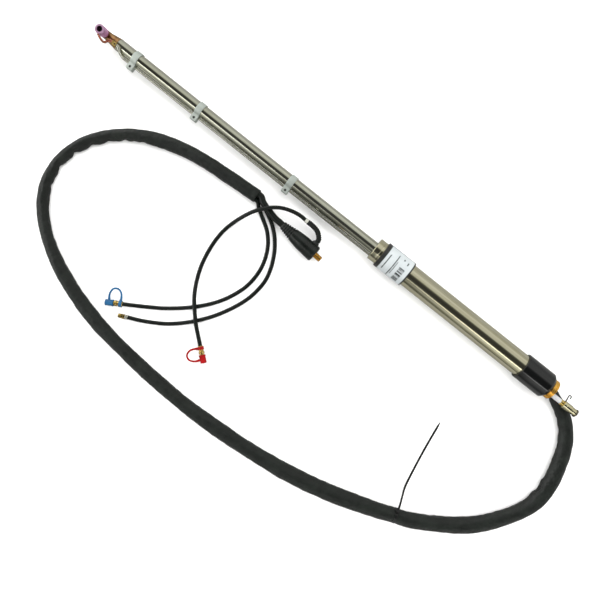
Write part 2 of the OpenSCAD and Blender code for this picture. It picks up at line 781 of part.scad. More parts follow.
module red_coupling() color([0.75, 0.6, 0.28]) at_end(RED) coupling();
module red_ring() color([0.8, 0.1, 0.12]) at_end(RED) strap_ring();
module red_strap() color([0.8, 0.1, 0.12]) at_end(RED) strap(-1);
module red_cap() color([0.8, 0.1, 0.12]) at_end(RED) cap();
module blue_hose() {
    color([0.17, 0.17, 0.17]) laid_out() sweep(out_of_mouth(-9.5, 13, BLUE), hose_d, hose_sides);
}
module blue_coupling() color([0.75, 0.6, 0.28]) at_end(BLUE) coupling();
module blue_ring() color([0.18, 0.47, 0.75]) at_end(BLUE) strap_ring();
module blue_strap() color([0.18, 0.47, 0.75]) at_end(BLUE) strap(-1);
module blue_cap() color([0.18, 0.47, 0.75]) at_end(BLUE) cap();

// ---- gas hose and its fitting ----

module gas_hose() {
    color([0.17, 0.17, 0.17]) laid_out() sweep(out_of_mouth(-2, 6, GAS), hose_d, hose_sides);
}

module gas_ferrule() {
    color([0.78, 0.78, 0.74]) at_end(GAS) difference() {
        end_rod(10.4, 0, 7);
        end_rod(5, 3, 8);
    }
}

module gas_nipple() {
    color([0.75, 0.6, 0.28]) at_end(GAS) difference() {
        union() {
            end_rod(7.6, 7, 8);
            end_rod(6, 8, 16);
            end_rod(9.2, 15.5, 22);
        }
        end_rod(4, 6, 23);
    }
}

module gas_nut() {
    color([0.75, 0.6, 0.28]) at_end(GAS) difference() {
        translate([8.1, 0, 0]) rotate([0, 90, 0]) rotate([0, 0, 30]) cylinder(d = 10.4, h = 7.2, $fn = 6);
        end_rod(6.1, 7, 16);
    }
}

// ---- drawing ----

torch_head();
head_seal();
cup();
gas_lens();
collet();
electrode();
back_cap();
wire_bracket();
bracket_screw();
wire_nozzle();
barrel_tube();
power_line();
water_line();
gas_line();
barrel_spacers();
wire_guide_tube();
clamp_front();
clamp_middle();
clamp_rear();
screw_front();
screw_middle();
screw_rear();
front_plug();
housing_tube();
label_ring();
label();
housing_spacers();
manifold();
service_leads();
wire_liner();
rear_collar();
gland_ring();
inlet_tube();
inlet_ferrule();
inlet_body();
inlet_rim();
latch_pin();
cable_sleeve();
cable_tie();
power_cable();
plug_boot();
plug_pin();
kink_guard();
marker_band();
red_hose();
red_coupling();
red_ring();
red_strap();
red_cap();
blue_hose();
blue_coupling();
blue_ring();
blue_strap();
blue_cap();
gas_hose();
gas_ferrule();
gas_nipple();
gas_nut();
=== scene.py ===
"""Looks of a long-reach welding torch lance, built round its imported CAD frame.

Lengths in the tables below are millimetres, as in the CAD source; everything
in Blender is in metres, in the frame's own axes.
"""

import json
import math

import bmesh
import bpy
from mathutils import Matrix, Vector, noise


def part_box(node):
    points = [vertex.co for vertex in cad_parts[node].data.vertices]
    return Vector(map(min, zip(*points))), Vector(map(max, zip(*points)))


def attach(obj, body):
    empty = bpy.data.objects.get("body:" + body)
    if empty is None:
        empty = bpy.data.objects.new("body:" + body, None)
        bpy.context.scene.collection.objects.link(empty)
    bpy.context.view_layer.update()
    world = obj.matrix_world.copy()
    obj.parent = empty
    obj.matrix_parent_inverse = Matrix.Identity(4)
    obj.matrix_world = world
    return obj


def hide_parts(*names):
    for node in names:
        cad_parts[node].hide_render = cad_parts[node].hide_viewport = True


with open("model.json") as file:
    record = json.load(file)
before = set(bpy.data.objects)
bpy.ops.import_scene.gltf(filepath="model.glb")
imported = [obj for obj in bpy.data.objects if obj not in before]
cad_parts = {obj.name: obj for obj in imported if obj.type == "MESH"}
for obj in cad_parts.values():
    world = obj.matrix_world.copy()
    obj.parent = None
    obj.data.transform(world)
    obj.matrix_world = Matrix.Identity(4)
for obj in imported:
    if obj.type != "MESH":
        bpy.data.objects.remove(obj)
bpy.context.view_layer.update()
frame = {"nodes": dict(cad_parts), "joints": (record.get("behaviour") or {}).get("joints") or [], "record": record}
MM = 0.001
LANCE = "lance"
AXIS_Z = sum(corner[2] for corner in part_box("barrel_tube")) / 2
CUP_JOINT = next(joint for joint in frame["joints"] if joint["name"] == "cup_turn")
CUP_AT = Vector(CUP_JOINT["pos_m"])
CUP_AXIS = Vector(CUP_JOINT["axis"])


# ---------------------------------------------------------------- camera

CAMERA_AT = (0.0385, -0.1892, 1.381)
CAMERA_RIGHT = (0.7821, 0.6231, 0.0)
CAMERA_LENS = 37.2


def make_camera():
    """Straight down from above the middle of the layout, turned so that the lance lies aslant."""
    data = bpy.data.cameras.new("camera")
    data.lens = CAMERA_LENS
    data.sensor_width = 36.0
    data.clip_end = 30.0
    camera = bpy.data.objects.new("camera", data)
    bpy.context.collection.objects.link(camera)
    right = Vector(CAMERA_RIGHT).normalized()
    back = Vector((0.0, 0.0, 1.0))
    up = back.cross(right)
    turn = Matrix((right, up, back)).transposed().to_4x4()
    camera.matrix_world = Matrix.Translation(CAMERA_AT) @ turn
    bpy.context.scene.camera = camera


make_camera()


# ---------------------------------------------------------------- routes

# Centre lines of the cords, the same points as in the CAD source: [x, y, z], and for the
# sleeve [x, y, z, radius]
SLEEVE = [
    [592, -5, 21, 13], [602, -5, 21, 13], [612, -9, 18, 13.5], [628, -15, 15, 14.5],
    [645, -23, 15.5, 15.5], [664, -37, 16, 16], [681, -55, 16, 16], [698, -84, 17, 17],
    [711, -122, 18, 18], [721, -165, 18, 18], [721, -210, 18, 18], [707, -250, 18, 18],
    [681, -294, 18, 18], [645, -338, 18, 18], [596, -377, 18, 18], [534, -415, 18, 18],
    [497, -430, 18, 16.8], [450, -449, 18, 18],
    [360, -479, 18, 18], [265, -502, 18, 18], [170, -516, 17, 17], [80, -524, 17, 17],
    [-10, -528, 16, 16], [-100, -526, 16, 16], [-190, -519, 16, 16], [-275, -508, 16, 16],
    [-350, -489, 16, 16], [-420, -463, 16, 16], [-480, -430, 15, 15], [-525, -392, 14, 14],
    [-555, -348, 14, 14], [-568, -300, 13, 13], [-564, -252, 13, 13], [-544, -205, 14, 14],
    [-510, -162, 14, 14], [-465, -127, 15, 15], [-405, -100, 15, 15], [-335, -83, 16, 16],
    [-255, -75, 16, 16], [-178, -69, 16, 16]]
POWER = [[-156, -73, 18], [-134, -79, 18.5], [-116, -83, 19]]
GUARD = [[-18, -53, 21], [-28, -47, 23], [-42, -45, 25], [-54, -45, 26]]
RED = [
    [-78, -45, 28], [-100, -50, 30.5], [-120, -59, 32], [-138, -73, 32], [-156, -93, 27],
    [-170, -115, 18], [-182, -142, 8], [-190, -175, 4.5], [-190, -215, 4.5], [-182, -260, 4.5],
    [-168, -297, 6], [-150, -327, 12], [-134, -346, 14], [-113, -369, 14], [-95, -386, 9.5],
    [-83, -396.5, 7.5], [-71, -406.5, 7.5]]
BLUE = [
    [-158, -88, 8], [-136, -101, 4.5], [-113, -116, 4.5], [-92, -140, 4.5],
    [-77, -172, 4.5], [-71, -208, 4.5], [-76, -250, 4.5], [-98, -300, 4.5], [-134, -346, 4.5],
    [-180, -387, 4.5], [-218, -413, 5.5], [-246, -430.5, 7.5], [-263, -441, 7.5]]
GAS = [
    [-156, -76, 4.5], [-136, -85, 4.5], [-113, -98, 4.5], [-90, -118, 4.5],
    [-70, -145, 4.5], [-54, -180, 4.5], [-48, -215, 4.5], [-55, -264, 4.5], [-80, -321, 4.5],
    [-113, -369, 4.5], [-155, -411, 4.5], [-200, -440, 5.2], [-236, -457.4, 5.2]]
TIE_TAIL = [[491, -416, 32], [488, -404, 29], [484, -388, 18], [479, -366, 4], [470, -320, 1.2],
            [461, -269, 1.2], [452, -207, 1.2]]
TIE_AT = Vector((497, -430, 18)) * MM
HOSE_D = 9 * MM
POWER_D = 15 * MM
PLUG_AT = Vector((2, -91, 19)) * MM
PLUG_L = 96
PLUG_TURN = math.radians(-4)
PLUG_DIR = Vector((math.cos(PLUG_TURN), math.sin(PLUG_TURN), 0))
PLUG_SIDE = Vector((-PLUG_DIR.y, PLUG_DIR.x, 0))


def metres(points):
    """Places in metres from rows of millimetres; a row's radius is left out."""
    return [Vector(p[:3]) * MM for p in points]


def smooth_route(points, step=0.004):
    """Points along a Catmull-Rom curve through the given points."""
    ends = [points[0] * 2 - points[1]] + list(points) + [points[-1] * 2 - points[-2]]
    route = []
    for a, b, c, d in zip(ends, ends[1:], ends[2:], ends[3:]):
        count = max(2, round((c - b).length / step))
        for i in range(count):
            t = i / count
            route.append(0.5 * (2 * b + (c - a) * t + (2 * a - 5 * b + 4 * c - d) * t ** 2
                                + (3 * b - 3 * c + d - a) * t ** 3))
    route.append(points[-1].copy())
    return route


def route_length(route):
    return sum((b - a).length for a, b in zip(route, route[1:]))


def end_frame(points):
    """Frame at the end of a cord, with X continuing the cord level with the floor."""
    heading = points[-1] - points[-2]
    heading.z = 0
    return frame_along(points[-1], heading)


def frame_along(origin, axis):
    """A frame at origin whose X axis is the given axis."""
    x = Vector(axis).normalized()
    up = Vector((0, 0, 1)) if abs(x.z) < 0.9 else Vector((1, 0, 0))
    y = up.cross(x).normalized()
    turn = Matrix((x, y, x.cross(y))).transposed().to_4x4()
    return Matrix.Translation(origin) @ turn


sleeve_mouth = Vector(SLEEVE[-1][:3]) * MM
mouth_dir = (sleeve_mouth - Vector(SLEEVE[-2][:3]) * MM).normalized()
mouth_side = Vector((-mouth_dir.y, mouth_dir.x, 0))


def out_of_mouth(side, height, points, inside):
    """A cord's route that starts inside the sleeve and comes out of its mouth."""
    base = Vector((sleeve_mouth.x, sleeve_mouth.y, height * MM)) + mouth_side * side * MM
    start = [base + mouth_dir * out * MM for out in (-inside, -inside / 2, 0, 8)]
    return start + metres(points)


side_port = PLUG_AT - PLUG_DIR * 15.5 * MM + PLUG_SIDE * 22 * MM
guard_start = [side_port + PLUG_SIDE * out * MM for out in (-4, 0, 7)]
guard_points = guard_start + metres(GUARD)
marker_dir = (metres(RED)[0] - guard_points[-1]).normalized()
marker_end = guard_points[-1] + marker_dir * 7 * MM
red_points = guard_points + [marker_end] + metres(RED)
boot_rear = PLUG_AT - PLUG_DIR * PLUG_L * MM
into_boot = [boot_rear + PLUG_DIR * out * MM for out in (-10, 8)]
power_points = out_of_mouth(4, 17, POWER, inside=26) + into_boot
blue_points = out_of_mouth(-9.5, 13, BLUE, inside=20)
gas_points = out_of_mouth(-2, 6, GAS, inside=20)


# ---------------------------------------------------------------- materials

def srgb(red, green, blue):
    """Linear colour from 8-bit sRGB."""
    return [((c / 255 + 0.055) / 1.055) ** 2.4 if c > 10 else c / 255 / 12.92
            for c in (red, green, blue)] + [1.0]


def feed(tree, socket, value):
    """Links the value into the socket, or sets it there when it is a plain one."""
    if isinstance(value, bpy.types.NodeSocket):
        tree.links.new(value, socket)
    else:
        socket.default_value = value


def add_node(tree, kind, settings=(), **inputs):
    """A shader node fed by socket name, or by number with i0, i1 and so on."""
    made = tree.nodes.new("ShaderNode" + kind)
    for key, value in dict(settings).items():
        setattr(made, key, value)
    for key, value in inputs.items():
        socket = int(key[1:]) if key[1:].isdigit() else key.replace("_", " ")
        feed(tree, made.inputs[socket], value)
    return made


class Surface:
    """One procedural material, made node by node round a Principled shader."""

    def __init__(self, name, **fixed):
        self.material = bpy.data.materials.new(name)
        self.material.use_nodes = True
        self.tree = self.material.node_tree
        self.shader = self.tree.nodes["Principled BSDF"]
        for socket, value in fixed.items():
            self.shader.inputs[socket.replace("_", " ")].default_value = value
        self.place = self.tree.nodes.new("ShaderNodeTexCoord").outputs["Object"]

    def node(self, kind, settings=(), **inputs):
        return add_node(self.tree, kind, settings, **inputs)

    def calc(self, operation, a, b=0.0):
        return self.node("Math", {"operation": operation}, i0=a, i1=b).outputs[0]

    def vector(self, operation, **inputs):
        return self.node("VectorMath", {"operation": operation}, **inputs).outputs

    def between(self, value, low, high):
        above = self.calc("GREATER_THAN", value, low)
        return self.calc("MULTIPLY", above, self.calc("LESS_THAN", value, high))

    def grain(self, scale, stretch=(1, 1, 1), detail=3.0, roughness=0.5, offset=(0, 0, 0)):
        """Noise over the piece's own space; a stretch below 1 draws it out along that axis."""
        moved = self.node("Mapping", i0=self.place, Location=offset,
                          Scale=tuple(scale * s for s in stretch)).outputs[0]
        made = self.node("TexNoise", Vector=moved, Scale=1.0, Detail=detail, Roughness=roughness)
        return made.outputs["Fac"]

    def span(self, value, low, high, to_low=0.0, to_high=1.0):
        return self.node("MapRange", Value=value, From_Min=low, From_Max=high,
                         To_Min=to_low, To_Max=to_high).outputs[0]

    def mix(self, factor, a, b):
        """Colour a where factor is 0, and b where it is 1."""
        return self.node("Mix", {"data_type": "RGBA"}, i0=factor, i6=a, i7=b).outputs[2]

    def colour(self, value):
        feed(self.tree, self.shader.inputs["Base Color"], value)

    def rough(self, value):
        feed(self.tree, self.shader.inputs["Roughness"], value)

    def bump(self, *layers):
        """Each layer is (height, depth in metres)."""
        normal = None
        for height, depth in layers:
            made = self.node("Bump", Height=height, Distance=depth, Strength=1.0)
            if normal:
                feed(self.tree, made.inputs["Normal"], normal)
            normal = made.outputs["Normal"]
        feed(self.tree, self.shader.inputs["Normal"], normal)


def plain(name, light, dark, rough, grain=900, bump=0.00002, blotch=30, stretch=(1, 1, 1), **fixed):
    """Two close tones in soft blotches, uneven roughness and a fine grain."""
    surface = Surface(name, **fixed)
    patches = surface.grain(blotch, stretch, detail=4.0)
    surface.colour(surface.mix(surface.span(patches, 0.35, 0.65), dark, light))
    fine = surface.grain(grain, stretch, detail=2.0)
    uneven = surface.calc("ADD", surface.calc("MULTIPLY", patches, 0.6),
                          surface.calc("MULTIPLY", fine, 0.4))
    surface.rough(surface.span(uneven, 0.3, 0.7, *rough))
    surface.bump((fine, bump))
    return surface.material


def drawn_steel(name, light, dark, rough, wear=1.0):
    """Polished tube: lines drawn along it, faint handling marks."""
    surface = Surface(name, Metallic=1.0)
    lines = surface.grain(1100, (0.006, 1, 1), detail=3.0, roughness=0.7)
    streaks = surface.grain(260, (0.012, 1, 1), detail=2.0, offset=(3, 1, 7))
    marks = surface.grain(18, (0.5, 1, 1), detail=6.0, roughness=0.65)
    tone = surface.calc("ADD", surface.calc("MULTIPLY", streaks, 0.6),
                        surface.calc("MULTIPLY", marks, 0.4))
    surface.colour(surface.mix(surface.span(tone, 0.38, 0.62), dark, light))
    surface.rough(surface.span(surface.calc("ADD", lines, marks), 0.8, 1.2, *rough))
    surface.bump((lines, 0.000004 * wear), (streaks, 0.000006 * wear))
    return surface.material


# (place along the lance, half width, from and to round the ring, all in metres, and the
# level of noise below which the line has a gap)
LABEL_LINES = [(0.1315, 0.0013, -0.031, 0.009, 0.38), (0.1480, 0.0012, -0.043, 0.020, 0.38),
               (0.1520, 0.0008, -0.030, 0.004, 0.42), (0.1620, 0.0015, 0.015, 0.0200, 0.32),
               (0.1725, 0.0013, 0.010, 0.0180, 0.32)]
LABEL_RADIUS = 0.03
BAR_PITCH = 0.00042


def label_film():
    """White film with ruled lines and a block of bars; nothing on it can be read."""
    surface = Surface("label_film", Specular_IOR_Level=0.4)
    parts = surface.node("SeparateXYZ", i0=surface.place).outputs
    along = parts["X"]
    around = surface.calc("MULTIPLY", LABEL_RADIUS, surface.calc(
        "ARCTAN2", parts["Y"], surface.calc("SUBTRACT", parts["Z"], AXIS_Z)))
    dashes = surface.grain(1400, (0.15, 1, 0.3), detail=1.0)
    ink = None
    for x, half, low, high, gaps in LABEL_LINES:
        line = surface.calc("MULTIPLY", surface.between(along, x - half, x + half),
                            surface.between(around, low, high))
        line = surface.calc("MULTIPLY", line, surface.calc("GREATER_THAN", dashes, gaps))
        ink = line if ink is None else surface.calc("MAXIMUM", ink, line)
    stripe = surface.calc("FLOOR", surface.calc("DIVIDE", around, BAR_PITCH))
    bars = surface.calc("GREATER_THAN", surface.node(
        "TexWhiteNoise", {"noise_dimensions": "1D"}, W=stripe).outputs[0], 0.3)
    block = surface.calc("MULTIPLY", surface.between(along, 0.1610, 0.1745), surface.calc(
        "MAXIMUM", surface.between(around, -0.039, -0.016), surface.between(around, -0.0135, -0.001)))
    ink = surface.calc("MAXIMUM", ink, surface.calc("MULTIPLY", block, bars))
    paper = surface.mix(surface.grain(60, detail=4.0), srgb(160, 166, 168), srgb(184, 190, 191))
    surface.colour(surface.mix(ink, paper, srgb(28, 30, 32)))
    surface.rough(surface.span(surface.grain(300), 0.3, 0.7, 0.32, 0.5))
    surface.bump((surface.grain(160, detail=3.0), 0.00004))
    return surface.material


CUP_BORE_DARK = 0.0062   # from the cup's axis; everything nearer is its bore


def cup_ceramic():
    """Pink ceramic, duller towards its mouth from the heat, with its bore painted dark as painted shade inside the
    hole.
    """
    surface = Surface("cup_ceramic", Specular_IOR_Level=0.45)
    parts = surface.node("SeparateXYZ", i0=surface.place).outputs
    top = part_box("cup")[1][2]
    heat = surface.span(surface.calc("ADD", parts["Z"], surface.calc(
        "MULTIPLY", surface.grain(220), 0.006)), top - 0.010, top + 0.004)
    fine = surface.grain(2200, detail=2.0)
    clay = surface.mix(surface.span(surface.grain(400), 0.4, 0.6), srgb(146, 98, 130), srgb(166, 118, 152))
    from_joint = surface.vector("SUBTRACT", i0=surface.place, i1=CUP_AT)[0]
    across = surface.vector("CROSS_PRODUCT", i0=from_joint, i1=CUP_AXIS)[0]
    radius = surface.vector("LENGTH", i0=across)["Value"]
    # painted shade: the inside of the bore is coloured dark where shade falls in the hole
    bore_painted_shade = surface.calc("LESS_THAN", radius, CUP_BORE_DARK)
    surface.colour(surface.mix(bore_painted_shade, surface.mix(heat, clay, srgb(124, 98, 118)), srgb(34, 12, 24)))
    surface.rough(surface.span(fine, 0.3, 0.7, 0.42, 0.6))
    surface.bump((fine, 0.00003))
    return surface.material


def sleeve_cloth():
    """Black coated cable sleeve: pebbled grain, creases and dusty patches."""
    surface = Surface("sleeve_cloth", Specular_IOR_Level=0.4, Sheen_Weight=0.03, Sheen_Roughness=0.5)
    cells = surface.node("TexVoronoi", {"feature": "F1"}, Vector=surface.place, Scale=620.0)
    pebble = cells.outputs["Distance"]
    fine = surface.grain(1500, detail=3.0)
    dust = surface.grain(34, detail=6.0, roughness=0.65)
    creases = surface.grain(120, detail=5.0, roughness=0.6, offset=(5, 2, 1))
    wear = surface.calc("MULTIPLY", surface.span(dust, 0.45, 0.75), 0.8)
    surface.colour(surface.mix(wear, srgb(9, 13, 10), srgb(21, 27, 22)))
    surface.rough(surface.span(surface.calc("ADD", dust, fine), 0.7, 1.3, 0.36, 0.56))
    surface.bump((creases, 0.0022), (pebble, 0.00012), (fine, 0.00004))
    return surface.material


MATERIALS = {
    "barrel_steel": drawn_steel("barrel_steel", srgb(208, 209, 194), srgb(186, 186, 166), (0.09, 0.17)),
    "housing_steel": drawn_steel("housing_steel", srgb(214, 210, 184), srgb(192, 187, 156), (0.08, 0.15)),
    "clamp_alloy": plain("clamp_alloy", srgb(176, 183, 176), srgb(158, 165, 159), (0.4, 0.54),
                         grain=2600, bump=0.00004, Metallic=0.6),
    # a lighter copy of the barrel steel for the guide tube: painted light that makes up for the shade the thin
    # tube gets beside the barrel
    "guide_steel_painted_light": drawn_steel("guide_steel_painted_light", srgb(226, 226, 214), srgb(212, 212, 198), (0.16, 0.22),
                               wear=0.02),
    "screw_steel": plain("screw_steel", srgb(84, 84, 82), srgb(60, 60, 58), (0.3, 0.45), Metallic=1.0),
    "head_copper": plain("head_copper", srgb(172, 136, 92), srgb(122, 88, 58), (0.28, 0.42),
                         grain=700, bump=0.00001, blotch=90, Metallic=1.0),
    "bracket_brass": plain("bracket_brass", srgb(196, 170, 104), srgb(146, 122, 66), (0.24, 0.38),
                           bump=0.00001, blotch=110, Metallic=1.0),
    "nozzle_copper": plain("nozzle_copper", srgb(226, 158, 132), srgb(196, 122, 100), (0.2, 0.34),
                           blotch=90, Metallic=1.0),
    "lens_brass": plain("lens_brass", srgb(214, 186, 120), srgb(176, 146, 84), (0.25, 0.4),
                        blotch=120, Metallic=1.0),
    "lens_gauze": plain("lens_gauze", srgb(54, 42, 36), srgb(30, 22, 20), (0.5, 0.7),
                        blotch=300, Metallic=0.6),
    "cup_ceramic": cup_ceramic(),
    "seal_fluoro": plain("seal_fluoro", srgb(112, 44, 30), srgb(82, 30, 20), (0.45, 0.6)),
    "tungsten": plain("tungsten", srgb(150, 150, 154), srgb(108, 108, 112), (0.22, 0.4), Metallic=1.0),
    "black_phenolic": plain("black_phenolic", srgb(10, 11, 11), srgb(7, 8, 8), (0.1, 0.16),
                            grain=500, bump=0.000004, stretch=(0.15, 1, 1), Coat_Weight=0.25,
                            Coat_Roughness=0.05),
    "label_ring_black": plain("label_ring_black", srgb(34, 34, 32), srgb(24, 24, 23), (0.28, 0.42)),
    "label_film": label_film(),
    "gland_brass": plain("gland_brass", srgb(240, 188, 88), srgb(220, 156, 58), (0.22, 0.34),
                         grain=800, bump=0.00001, blotch=110, stretch=(1, 0.2, 0.2), Metallic=0.9),
    "inlet_plastic": plain("inlet_plastic", srgb(184, 180, 180), srgb(164, 160, 162), (0.3, 0.45),
                           Subsurface_Weight=0.15),
    "ferrule_brass": plain("ferrule_brass", srgb(236, 208, 132), srgb(206, 176, 96), (0.2, 0.32),
                           bump=0.00001, blotch=140, Metallic=1.0),
    "inlet_nickel": plain("inlet_nickel", srgb(226, 220, 184), srgb(204, 196, 156), (0.12, 0.22),
                          bump=0.00001, blotch=120, stretch=(0.3, 1, 1), Metallic=1.0),
    "rim_dark": plain("rim_dark", srgb(128, 122, 104), srgb(92, 88, 74), (0.24, 0.4), Metallic=1.0),
    "sleeve_fabric": sleeve_cloth(),
    "tie_nylon": plain("tie_nylon", srgb(18, 18, 18), srgb(11, 11, 11), (0.26, 0.38)),
    "cable_rubber": plain("cable_rubber", srgb(11, 15, 12), srgb(7, 10, 8), (0.26, 0.38),
                          grain=1300, bump=0.00001, blotch=60, Specular_IOR_Level=0.32),
    "plug_rubber": plain("plug_rubber", srgb(13, 18, 15), srgb(9, 12, 10), (0.24, 0.36),
                         grain=1700, bump=0.00002, blotch=70, Specular_IOR_Level=0.5),
    "pin_brass": plain("pin_brass", srgb(236, 180, 88), srgb(206, 146, 60), (0.18, 0.34),
                       blotch=200, Metallic=1.0),
    "marker_print": plain("marker_print", srgb(178, 178, 168), srgb(140, 140, 130), (0.4, 0.55)),
    "red_rubber": plain("red_rubber", srgb(150, 4, 8), srgb(120, 3, 6), (0.3, 0.42), blotch=90,
                        bump=0.00001, Specular_IOR_Level=0.2),
    "blue_rubber": plain("blue_rubber", srgb(16, 84, 126), srgb(10, 70, 110), (0.34, 0.48), blotch=90,
                         bump=0.00001),
    "crimp_steel": plain("crimp_steel", srgb(220, 220, 208), srgb(188, 188, 176), (0.2, 0.35),
                         blotch=200, Metallic=1.0),
}


def dress_frame():
    """Gives each CAD node the material of its slot in the record."""
    for part in frame["record"]["subparts"]:
        mesh = frame["nodes"][part["node"]].data
        mesh.materials.clear()
        mesh.materials.append(MATERIALS[part["material_slot"]])


dress_frame()


# ---------------------------------------------------------------- building

def settle(obj, slot, body, replaced, look=None):
    """Puts a finished object in the scene; look is its material where that isn't its slot's."""
    bpy.context.collection.objects.link(obj)
    obj.data.materials.append(MATERIALS[look or slot])
    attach(obj, body)
    if replaced:
        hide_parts(*replaced)
    return obj


def mesh_from(name, fill):
    """The mesh that the function fill(bm) draws, with its faces turned outwards."""
    bm = bmesh.new()
    fill(bm)
    bmesh.ops.recalc_face_normals(bm, faces=bm.faces)
    mesh = bpy.data.meshes.new(name)
    bm.to_mesh(mesh)
    bm.free()
    return mesh


def piece(name, slot, fill, body=LANCE, replaced=(), sharp=38, look=None):
    """A piece whose mesh fill(bm) draws, smooth except at edges sharper than the given angle."""
    mesh = mesh_from(name, fill)
    mesh.shade_smooth()
    mesh.set_sharp_from_angle(angle=math.radians(sharp))
    return settle(bpy.data.objects.new(name, mesh), slot, body, replaced, look)


def rounded(outline, radius, steps=3):
    """The outline with each inner corner rounded."""
    points = [Vector(p) for p in outline]
    result = [points[0]]
    for before, corner, after in zip(points, points[1:], points[2:]):
        a, b = before - corner, after - corner
        cut = min(radius, 0.45 * a.length, 0.45 * b.length)
        start, end = corner + a.normalized() * cut, corner + b.normalized() * cut
        for i in range(steps + 1):
            t = i / steps
            result.append(start * (1 - t) ** 2 + corner * 2 * t * (1 - t) + end * t ** 2)
    return result + [points[-1]]


def revolve(bm, outline, place, sides=64):
    """Turns an outline of (x, radius) in mm round the X axis of the frame place."""
    rings = []
    for x, r in outline:
        if r < 1e-6:
            rings.append([bm.verts.new(place @ Vector((x * MM, 0, 0)))])
            continue
        rings.append([bm.verts.new(place @ Vector((
            x * MM, r * MM * math.cos(2 * math.pi * k / sides), r * MM * math.sin(2 * math.pi * k / sides))))
            for k in range(sides)])
    for a, b in zip(rings, rings[1:]):
        for k in range(sides):
            n = (k + 1) % sides
            corners = [a[k % len(a)], a[n % len(a)], b[n % len(b)], b[k % len(b)]]
            unique = list(dict.fromkeys(corners))
            if len(unique) > 2:
                bm.faces.new(unique)


def lathe(name, slot, outline, place, body=LANCE, replaced=(), radius=0.6, sides=64, closed=False):
    """A turned piece. A closed outline is a ring's section; an open one ends on the axis."""
    points = list(outline)
    if closed:
        points = points + points[:2]
    shape = rounded(points, radius)
    if closed:
        shape = shape[1:-1]

    def fill(bm):
        revolve(bm, shape + ([shape[0]] if closed else []), place, sides)
        bmesh.ops.remove_doubles(bm, verts=bm.verts, dist=1e-7)

    return piece(name, slot, fill, body, replaced)


def bridge(bm, rings):
    """Skins each ring to the next; all have the same number of points."""
    for a, b in zip(rings, rings[1:]):
        count = len(a)
        for k in range(count):
            n = (k + 1) % count
            bm.faces.new([a[k], a[n], b[n], b[k]])


def bridge_and_cap(bm, rings):
    bridge(bm, rings)
    bm.faces.new(rings[0])
    bm.faces.new(rings[-1])


def tube(bm, route, radii, sides, flat=1.0):
    """Rings of the given radii along a route; flat scales them upright."""
    rings = []
    for i, point in enumerate(route):
        heading = (route[min(i + 1, len(route) - 1)] - route[max(i - 1, 0)]).normalized()
        side = heading.cross(Vector((0, 0, 1))).normalized()
        up = side.cross(heading)
        rings.append([bm.verts.new(point + radii[i] * (
            side * math.cos(2 * math.pi * k / sides) + up * flat * math.sin(2 * math.pi * k / sides)))
            for k in range(sides)])
    bridge_and_cap(bm, rings)


def bevelled_box(bm, place, size, bevel):
    """A box of the given size in metres, centred on the frame place, with bevelled edges."""
    made = bmesh.ops.create_cube(bm, size=1.0, matrix=place @ Matrix.Diagonal((*size, 1)))["verts"]
    edges = list({e for v in made for e in v.link_edges})
    bmesh.ops.bevel(bm, geom=edges, offset=bevel, segments=2, affect="EDGES")


def cord_curve(name, slot, points, diameter, replaced):
    """A cord as one open spline with a round section, and its length."""
    route = smooth_route(points)
    data = bpy.data.curves.new(name, "CURVE")
    data.dimensions = "3D"
    data.bevel_depth = diameter / 2
    data.bevel_resolution = 7
    data.use_fill_caps = True
    spline = data.splines.new("POLY")
    spline.points.add(len(route) - 1)
    for target, point in zip(spline.points, route):
        target.co = (*point, 1.0)
    spline.use_smooth = True
    return settle(bpy.data.objects.new(name, data), slot, LANCE, replaced), route_length(route)


# ---------------------------------------------------------------- sleeve

SLEEVE_SIDES = 44
SLEEVE_FLAT = 0.88   # height of the lying sleeve against its width
# a sharp fold on the inside of the first bend
KINK = Vector((0.703, -0.186, 0.018))
# the deep folds inside the far bend: (distance run along the sleeve in m, depth in mm)
FOLDS = [(1.728, 3.0), (1.777, 7.0), (1.825, 8.0), (1.868, 7.0), (1.908, 4.6), (1.945, 3.2), (1.99, 1.8)]
# how wide the sleeve lies against its cord radius, by the distance run along it
SLEEVE_WIDTH = [(0, 0.97), (0.25, 0.97), (0.5, 1.0), (1.2, 1.0), (1.42, 0.96), (1.6, 0.92), (1.85, 0.96),
                (2.0, 0.98), (2.3, 0.99)]


def interpolate(table, at):
    """Linear interpolation in a table of (key, value)."""
    for (k0, v0), (k1, v1) in zip(table, table[1:]):
        if at <= k1:
            return v0 + (v1 - v0) * max(0.0, at - k0) / (k1 - k0)
    return table[-1][1]


def sleeve_stations():
    """Closely spaced stations along the sleeve: point, heading, distance run, radius, bend."""
    points = [Vector(p) * MM for p in SLEEVE]   # 4-D: the radius is smoothed with the place
    dense = smooth_route(points, step=0.0045)
    stations, run = [], 0.0
    for i, p in enumerate(dense):
        here = Vector(p[:3])
        if i:
            run += (here - Vector(dense[i - 1][:3])).length
        a = Vector(dense[max(i - 6, 0)][:3])
        b = Vector(dense[min(i + 6, len(dense) - 1)][:3])
        before, after = here - a, b - here
        bend = 0.0
        if before.length > 0 and after.length > 0:
            bend = before.normalized().cross(after.normalized()).z / (b - a).length * 2
        stations.append((here, (b - a).normalized(), run, p[3], bend))
    return stations


